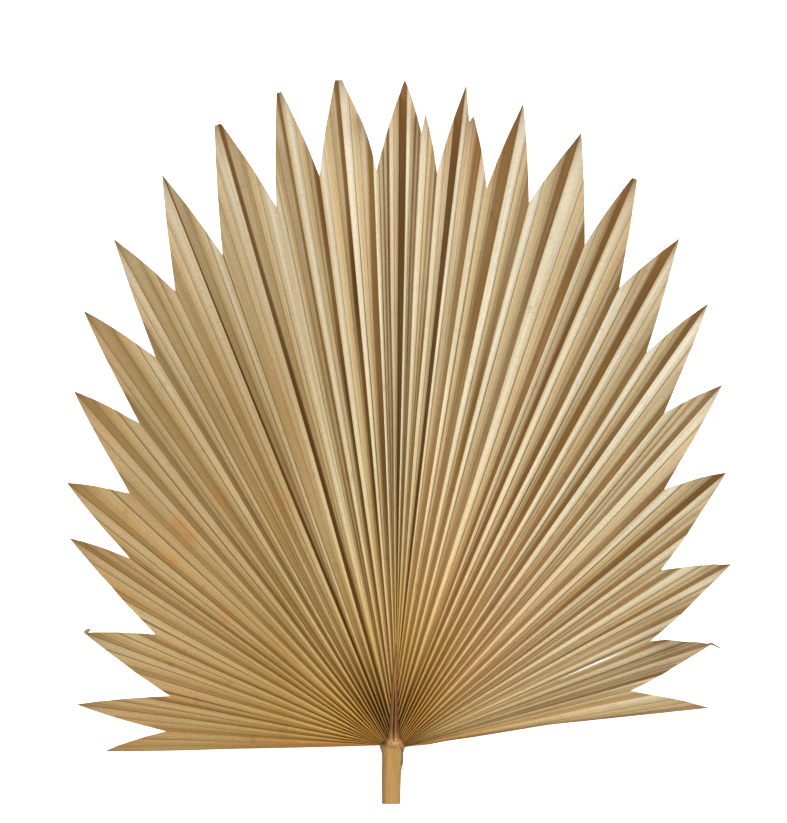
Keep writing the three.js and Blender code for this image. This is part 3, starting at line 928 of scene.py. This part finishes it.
def side_colours(s, f, colour):
    """Broad sides: painted sheen above their thin crease, warmer below it. Steep sides: brown and painted
    shade behind the ridge.
    """
    below = s.times(f.broad, s.span(f.above, 0.03, -0.03), s.span(f.rise, 0.0, 0.25, 0.4, 1.0))
    mostly_right = s.math("SUBTRACT", 1.0, s.times(f.left, 0.7))
    colour = s.mix(s.times(below, mostly_right, 0.8), colour, LOWER_TAN)
    # Painted sheen on the broad sides near the ridge
    near_ridge = s.bell(s.math("SUBTRACT", f.rise, 0.72), 0.22)
    sheen = s.times(f.broad, near_ridge, s.span(f.tone, 0.0, 0.8, 0.3, 1.0),
                    s.span(f.streaks, 0.3, 0.6, 0.3, 1.0), s.span(f.left, 0.0, 1.0, 1.0, 0.22),
                    s.span(f.low_right, 0.0, 1.0, 1.0, 0.35))
    colour = s.mix(s.times(sheen, 0.75), colour, PAINTED_SHEEN)
    down = s.math("DIVIDE", f.from_ridge, s.attribute("shadow_width"))
    falling = s.span(down, 0.7, 1.25, 1.0, 0.0)
    lasting = s.math("MAXIMUM", falling, s.attribute("shadow_rest"))
    force = s.times(f.steep, f.shadow, lasting, s.span(f.streaks, 0.25, 0.6, 0.85, 1.05))
    # Painted shadow on the steep side behind each ridge, partly the leaf's own brown
    colour = s.mix(s.math("MINIMUM", force, 0.97), colour, STEEP_SHADE_BROWN)
    deep = s.times(f.steep, falling, s.span(f.shadow, 0.95, 1.5, 0.0, 0.85))
    return s.mix(deep, colour, DEEP_SHADE_BROWN)


def thin_lines(s, f, colour):
    """Painted shade in the valley and in the thin crease of the broad side, and a painted highlight on the
    ridge.
    """
    line = s.math("MAXIMUM", s.span(f.reach, 0.05, 0.2, 0.2, 0.4), 0.1)
    # Painted shade along the valley
    valley = s.times(s.bell(f.from_valley, line), s.math("MINIMUM", f.shadow, 1.0),
                     s.span(f.fibres, 0.3, 0.6, 0.6, 1.0))
    colour = s.mix(s.times(valley, 0.7), colour, FLECK_AND_CREASE_SHADE)
    # Painted shade in the thin crease of the broad side
    crease_width = s.span(f.reach, 0.05, 0.16, 0.35, 0.85)
    crease = s.times(s.bell(s.times(f.above, f.width), crease_width), f.broad, s.attribute("crease_shade_force"),
                     s.span(f.reach, 0.03, 0.1), s.span(f.bands, 0.3, 0.5, 0.9, 1.0),
                     s.span(f.left, 0.0, 1.0, 1.0, 0.9))
    colour = s.mix(s.times(crease, s.span(f.reach, 0.2, 0.36, 0.97, 0.5)), colour, FLECK_AND_CREASE_SHADE)
    # Painted highlight along the ridge
    crest_highlight = s.times(s.bell(f.from_ridge, 0.4), s.span(f.broad, 0, 1, 0.25, 1.0),
                    s.span(f.streaks, 0.3, 0.6, 0.5, 1.0))
    return s.mix(s.times(crest_highlight, 0.45), colour, RIDGE_HIGHLIGHT)


def hub_colours(s, f, colour):
    """Golden and ochre round the stalk, painted light and shade on its folds, dark beside the costa, pinkish
    on the lowest pleat of each half.
    """
    golden = s.math("MINIMUM", s.times(s.fade(f.reach, 0.09), 1.35), 1.0)
    steeply_up = s.math("MAXIMUM", s.span(f.incline, 0.3, 1.8, 0.65, 1.0), s.span(f.x, 0.0, -0.01))
    colour = s.mix(s.times(golden, steeply_up), colour, s.mix(1.0, colour, GOLDEN, "MULTIPLY"))
    ochre, below_ridge = s.attribute("ochre"), s.math("SUBTRACT", 1.0, f.rise)
    colour = s.mix(s.times(ochre, 0.93), colour, HUB_OCHRE)
    # Painted highlight on the ridges round the stalk
    colour = s.mix(s.times(ochre, s.bell(below_ridge, 0.35), f.broad, 0.75), colour, HUB_RIDGE_HIGHLIGHT)
    # Painted shade in the valleys round the stalk
    hub_valley_shade = s.times(ochre, s.bell(f.rise, 0.45), 1.1)
    colour = s.mix(s.math("MINIMUM", hub_valley_shade, 0.95), colour, HUB_DARK_AND_VALLEY_SHADE)
    # Darker beside the costa and round the stalk's head, less on the ridges
    on_ridge = s.times(s.bell(below_ridge, 0.3), f.broad, 0.55)
    dark_near_costa = s.times(s.attribute("dark_near_costa"), s.math("SUBTRACT", 1.0, on_ridge),
                    s.span(f.fibres, 0.3, 0.7, 1.0, 0.75))
    colour = s.mix(s.times(dark_near_costa, 0.92), colour, HUB_DARK_AND_VALLEY_SHADE)
    lowest = s.math("ADD", s.span(f.pleats, 1.5, 0.7), s.span(f.pleats, PLEATS - 1.5, PLEATS - 0.7))
    rolled = s.times(lowest, s.span(f.reach, 0.11, 0.03), s.span(f.streaks, 0.3, 0.6, 0.6, 1.0))
    return s.mix(s.times(rolled, 0.85), colour, ROLL_PINK)


def stains_and_tips(s, f, colour):
    for x, y, size, strength in STAINS:
        spot = s.times(s.bell(s.math("SUBTRACT", f.x, x * MM), size * MM),
                       s.bell(s.math("SUBTRACT", f.y, y * MM), size * MM),
                       s.span(f.flecks, 0.35, 0.6, 0.2, 1.0), s.span(f.streaks, 0.35, 0.6, 0.5, 1.3))
        colour = s.mix(s.times(spot, strength), colour, STAIN_ORANGE)
    colour = s.mix(s.times(s.span(f.flecks, 0.62, 0.74), 0.2), colour, FLECK_AND_CREASE_SHADE)
    rusty = s.times(s.fade(f.to_cut, 28.0), s.span(f.patches, 0.45, 0.62), s.span(f.threads, 0.35, 0.6))
    colour = s.mix(s.times(rusty, 0.35), colour, STAIN_ORANGE)
    colour = s.mix(s.times(s.fade(s.attribute("to_tip"), 9.0), 0.7), colour, TIP_BROWN)
    colour = s.mix(s.times(s.fade(f.to_cut, 0.5), 0.45), colour, TIP_BROWN)
    return s.mix(s.attribute("wall"), colour, TIP_BROWN)


def fine_grain(s, f, colour):
    """Fine fibres and grain over everything, with the slow change of brightness across the leaf and a painted
    sheen down its middle.
    """
    fine = s.math("ADD", s.span(f.fibres, 0.3, 0.7, 0.88, 1.08), s.span(f.grain, 0.3, 0.7, -0.1, 0.11))
    # Painted sheen: the middle strip is brighter, the sides darker further out
    middle = s.bell(s.math("DIVIDE", f.x, f.y), 0.13)
    fine = s.times(fine, s.span(middle, 0.0, 1.0, s.span(f.reach, 0.16, 0.36, 1.03, 0.87), 1.15),
                   s.span(f.low_right, 0.0, 1.0, 1.0, s.span(f.reach, 0.1, 0.2, 1.03, 0.96)))
    colour = s.mix(1.0, colour, s.grey(fine), "MULTIPLY")
    rosy = s.times(s.span(f.x, 0.0, 0.03), s.span(f.reach, 0.18, 0.09), s.span(f.incline, 0.4, 1.0))
    return s.mix(rosy, colour, s.mix(1.0, colour, ROSY, "MULTIPLY"))


def blade_material():
    s = Shader("dried_blade")
    f = blade_fields(s)
    colour = ground_colour(s, f)
    for layer in (side_colours, thin_lines, hub_colours, stains_and_tips, fine_grain):
        colour = layer(s, f, colour)
    s.put(s.surface.inputs["Base Color"], colour)
    s.put(s.surface.inputs["Roughness"], s.span(f.streaks, 0.3, 0.7, 0.45, 0.62))
    s.surface.inputs["Specular IOR Level"].default_value = BLADE_SHINE
    ribs = s.math("ADD", s.times(f.streaks, 1.4), f.fibres)
    s.put(s.surface.inputs["Normal"], s.bump(ribs, 0.7, 0.0003))
    return s.material


# Colours of the stalk
STALK_TAN = srgb(146, 115, 68)
STALK_OCHRE = srgb(126, 94, 47)
# Painted shade of the stalk's left side, also its dark fine fibres
STALK_FIBRE_AND_SIDE_SHADE = srgb(88, 64, 34)
COSTA_BROWN = srgb(80, 50, 18)
COLLAR_BROWN = srgb(104, 66, 28)
RIDGE_PINK = srgb(138, 94, 50)
KNOT_PINK = srgb(170, 126, 84)
BARK_DARK = srgb(44, 25, 8)
STALK_SHINE = 0.15


def stalk_material():
    s = Shader("dried_stalk")
    x, y, _ = s.parts(s.place())
    streaks = s.noise(s.stretch(s.place(), (1500, 45, 1500)), 1.0, 5, 0.65)
    fine = s.noise(s.stretch(s.place(), (4500, 130, 4500)), 1.0, 3, 0.6)
    patches = s.noise(s.place(), 160, 4, 0.6)
    tufts = s.noise(s.stretch(s.place(), (1000, 330, 1000)), 1.0, 3, 0.6)
    colour = s.mix(s.span(streaks, 0.34, 0.66), STALK_OCHRE, STALK_TAN)
    colour = s.mix(s.times(s.span(patches, 0.5, 0.7), 0.5), colour, STALK_OCHRE)
    # Painted shade along the stalk's left edge below its head
    left_side_shade = s.times(s.span(x, -0.0035, -0.0068), s.span(y, 0.0, -0.004))
    colour = s.mix(s.times(left_side_shade, 0.75), colour, STALK_FIBRE_AND_SIDE_SHADE)
    collar = s.attribute("collar")
    colour = s.mix(s.times(collar, s.span(tufts, 0.35, 0.6, 0.95, 0.3)), colour, COLLAR_BROWN)
    costa = s.span(y, 0.002, 0.009)
    colour = s.mix(s.times(costa, 0.9), colour, COSTA_BROWN)
    colour = s.mix(s.times(s.attribute("ridges"), s.span(fine, 0.3, 0.6, 0.5, 1.0)), colour, RIDGE_PINK)
    colour = s.mix(s.times(s.attribute("knot"), s.span(tufts, 0.38, 0.58, 0.1, 0.9)), colour, KNOT_PINK)
    colour = s.mix(s.times(collar, s.span(tufts, 0.43, 0.34), 0.75), colour, BARK_DARK)
    for mark in ("slit", "notch", "scar"):
        strength = s.times(s.attribute(mark), s.span(fine, 0.3, 0.6, 0.85, 1.05))
        colour = s.mix(s.math("MINIMUM", strength, 0.95), colour, BARK_DARK)
    colour = s.mix(s.times(s.span(fine, 0.55, 0.7), 0.3), colour, STALK_FIBRE_AND_SIDE_SHADE)
    s.put(s.surface.inputs["Base Color"], colour)
    s.put(s.surface.inputs["Roughness"], s.span(streaks, 0.3, 0.7, 0.42, 0.6))
    s.surface.inputs["Specular IOR Level"].default_value = STALK_SHINE
    ribs = s.math("ADD", s.math("ADD", streaks, fine), s.times(collar, tufts, 4.0))
    s.put(s.surface.inputs["Normal"], s.bump(ribs, 0.6, 0.0002))
    return s.material


def dress(obj, material, node):
    obj.data.materials.append(material)
    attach(obj, "root")
    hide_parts(node)


# The stage
def make_floor():
    s = Shader("pale_floor")
    s.put(s.surface.inputs["Base Color"], FLOOR_COLOUR)
    s.put(s.surface.inputs["Roughness"], FLOOR_ROUGHNESS)
    s.put(s.surface.inputs["Emission Color"], WHITE)
    s.put(s.surface.inputs["Emission Strength"], FLOOR_GLOW)
    half = FLOOR_HALF_SIZE
    verts = [(-half, -half, 0), (half, -half, 0), (half, half, 0), (-half, half, 0)]
    floor = new_object("floor", verts, [(0, 1, 2, 3)], smooth=False)
    floor.data.materials.append(s.material)


def add_light(name, place, size, power):
    light = bpy.data.lights.new(name, "AREA")
    light.shape = "SQUARE"
    light.size = size
    light.energy = power
    obj = bpy.data.objects.new(name, light)
    bpy.context.scene.collection.objects.link(obj)
    away = np.array(place) - np.array(LIGHT_TARGET)
    tilt = math.atan2(math.hypot(away[0], away[1]), away[2])
    obj.location = place
    obj.rotation_euler = (tilt, 0, math.atan2(away[0], -away[1]))


def light_stage():
    world = bpy.data.worlds.new("studio")
    world.use_nodes = True
    background = world.node_tree.nodes["Background"]
    background.inputs["Color"].default_value = WHITE
    background.inputs["Strength"].default_value = WORLD_STRENGTH
    bpy.context.scene.world = world
    for name, (place, size, power) in LIGHTS.items():
        add_light(name, place, size, power)
    bpy.context.scene.view_settings.view_transform = "Standard"


def add_camera():
    """Straight above the leaf, with the photograph's frame."""
    wide, high = PHOTO_SIZE
    origin_x, origin_y = ORIGIN_PIXEL
    pixel = PIXEL * MM
    camera = bpy.data.cameras.new("camera")
    camera.sensor_width = SENSOR
    camera.lens = SENSOR * (CAMERA_HEIGHT - FOCUS_HEIGHT) / (high * pixel)
    obj = bpy.data.objects.new("camera", camera)
    obj.location = ((wide / 2 - origin_x) * pixel, (origin_y - high / 2) * pixel, CAMERA_HEIGHT)
    bpy.context.scene.collection.objects.link(obj)
    bpy.context.scene.camera = obj


add_camera()
make_floor()
light_stage()
dress(make_blade(), blade_material(), "blade")
dress(make_stalk(), stalk_material(), "stalk")
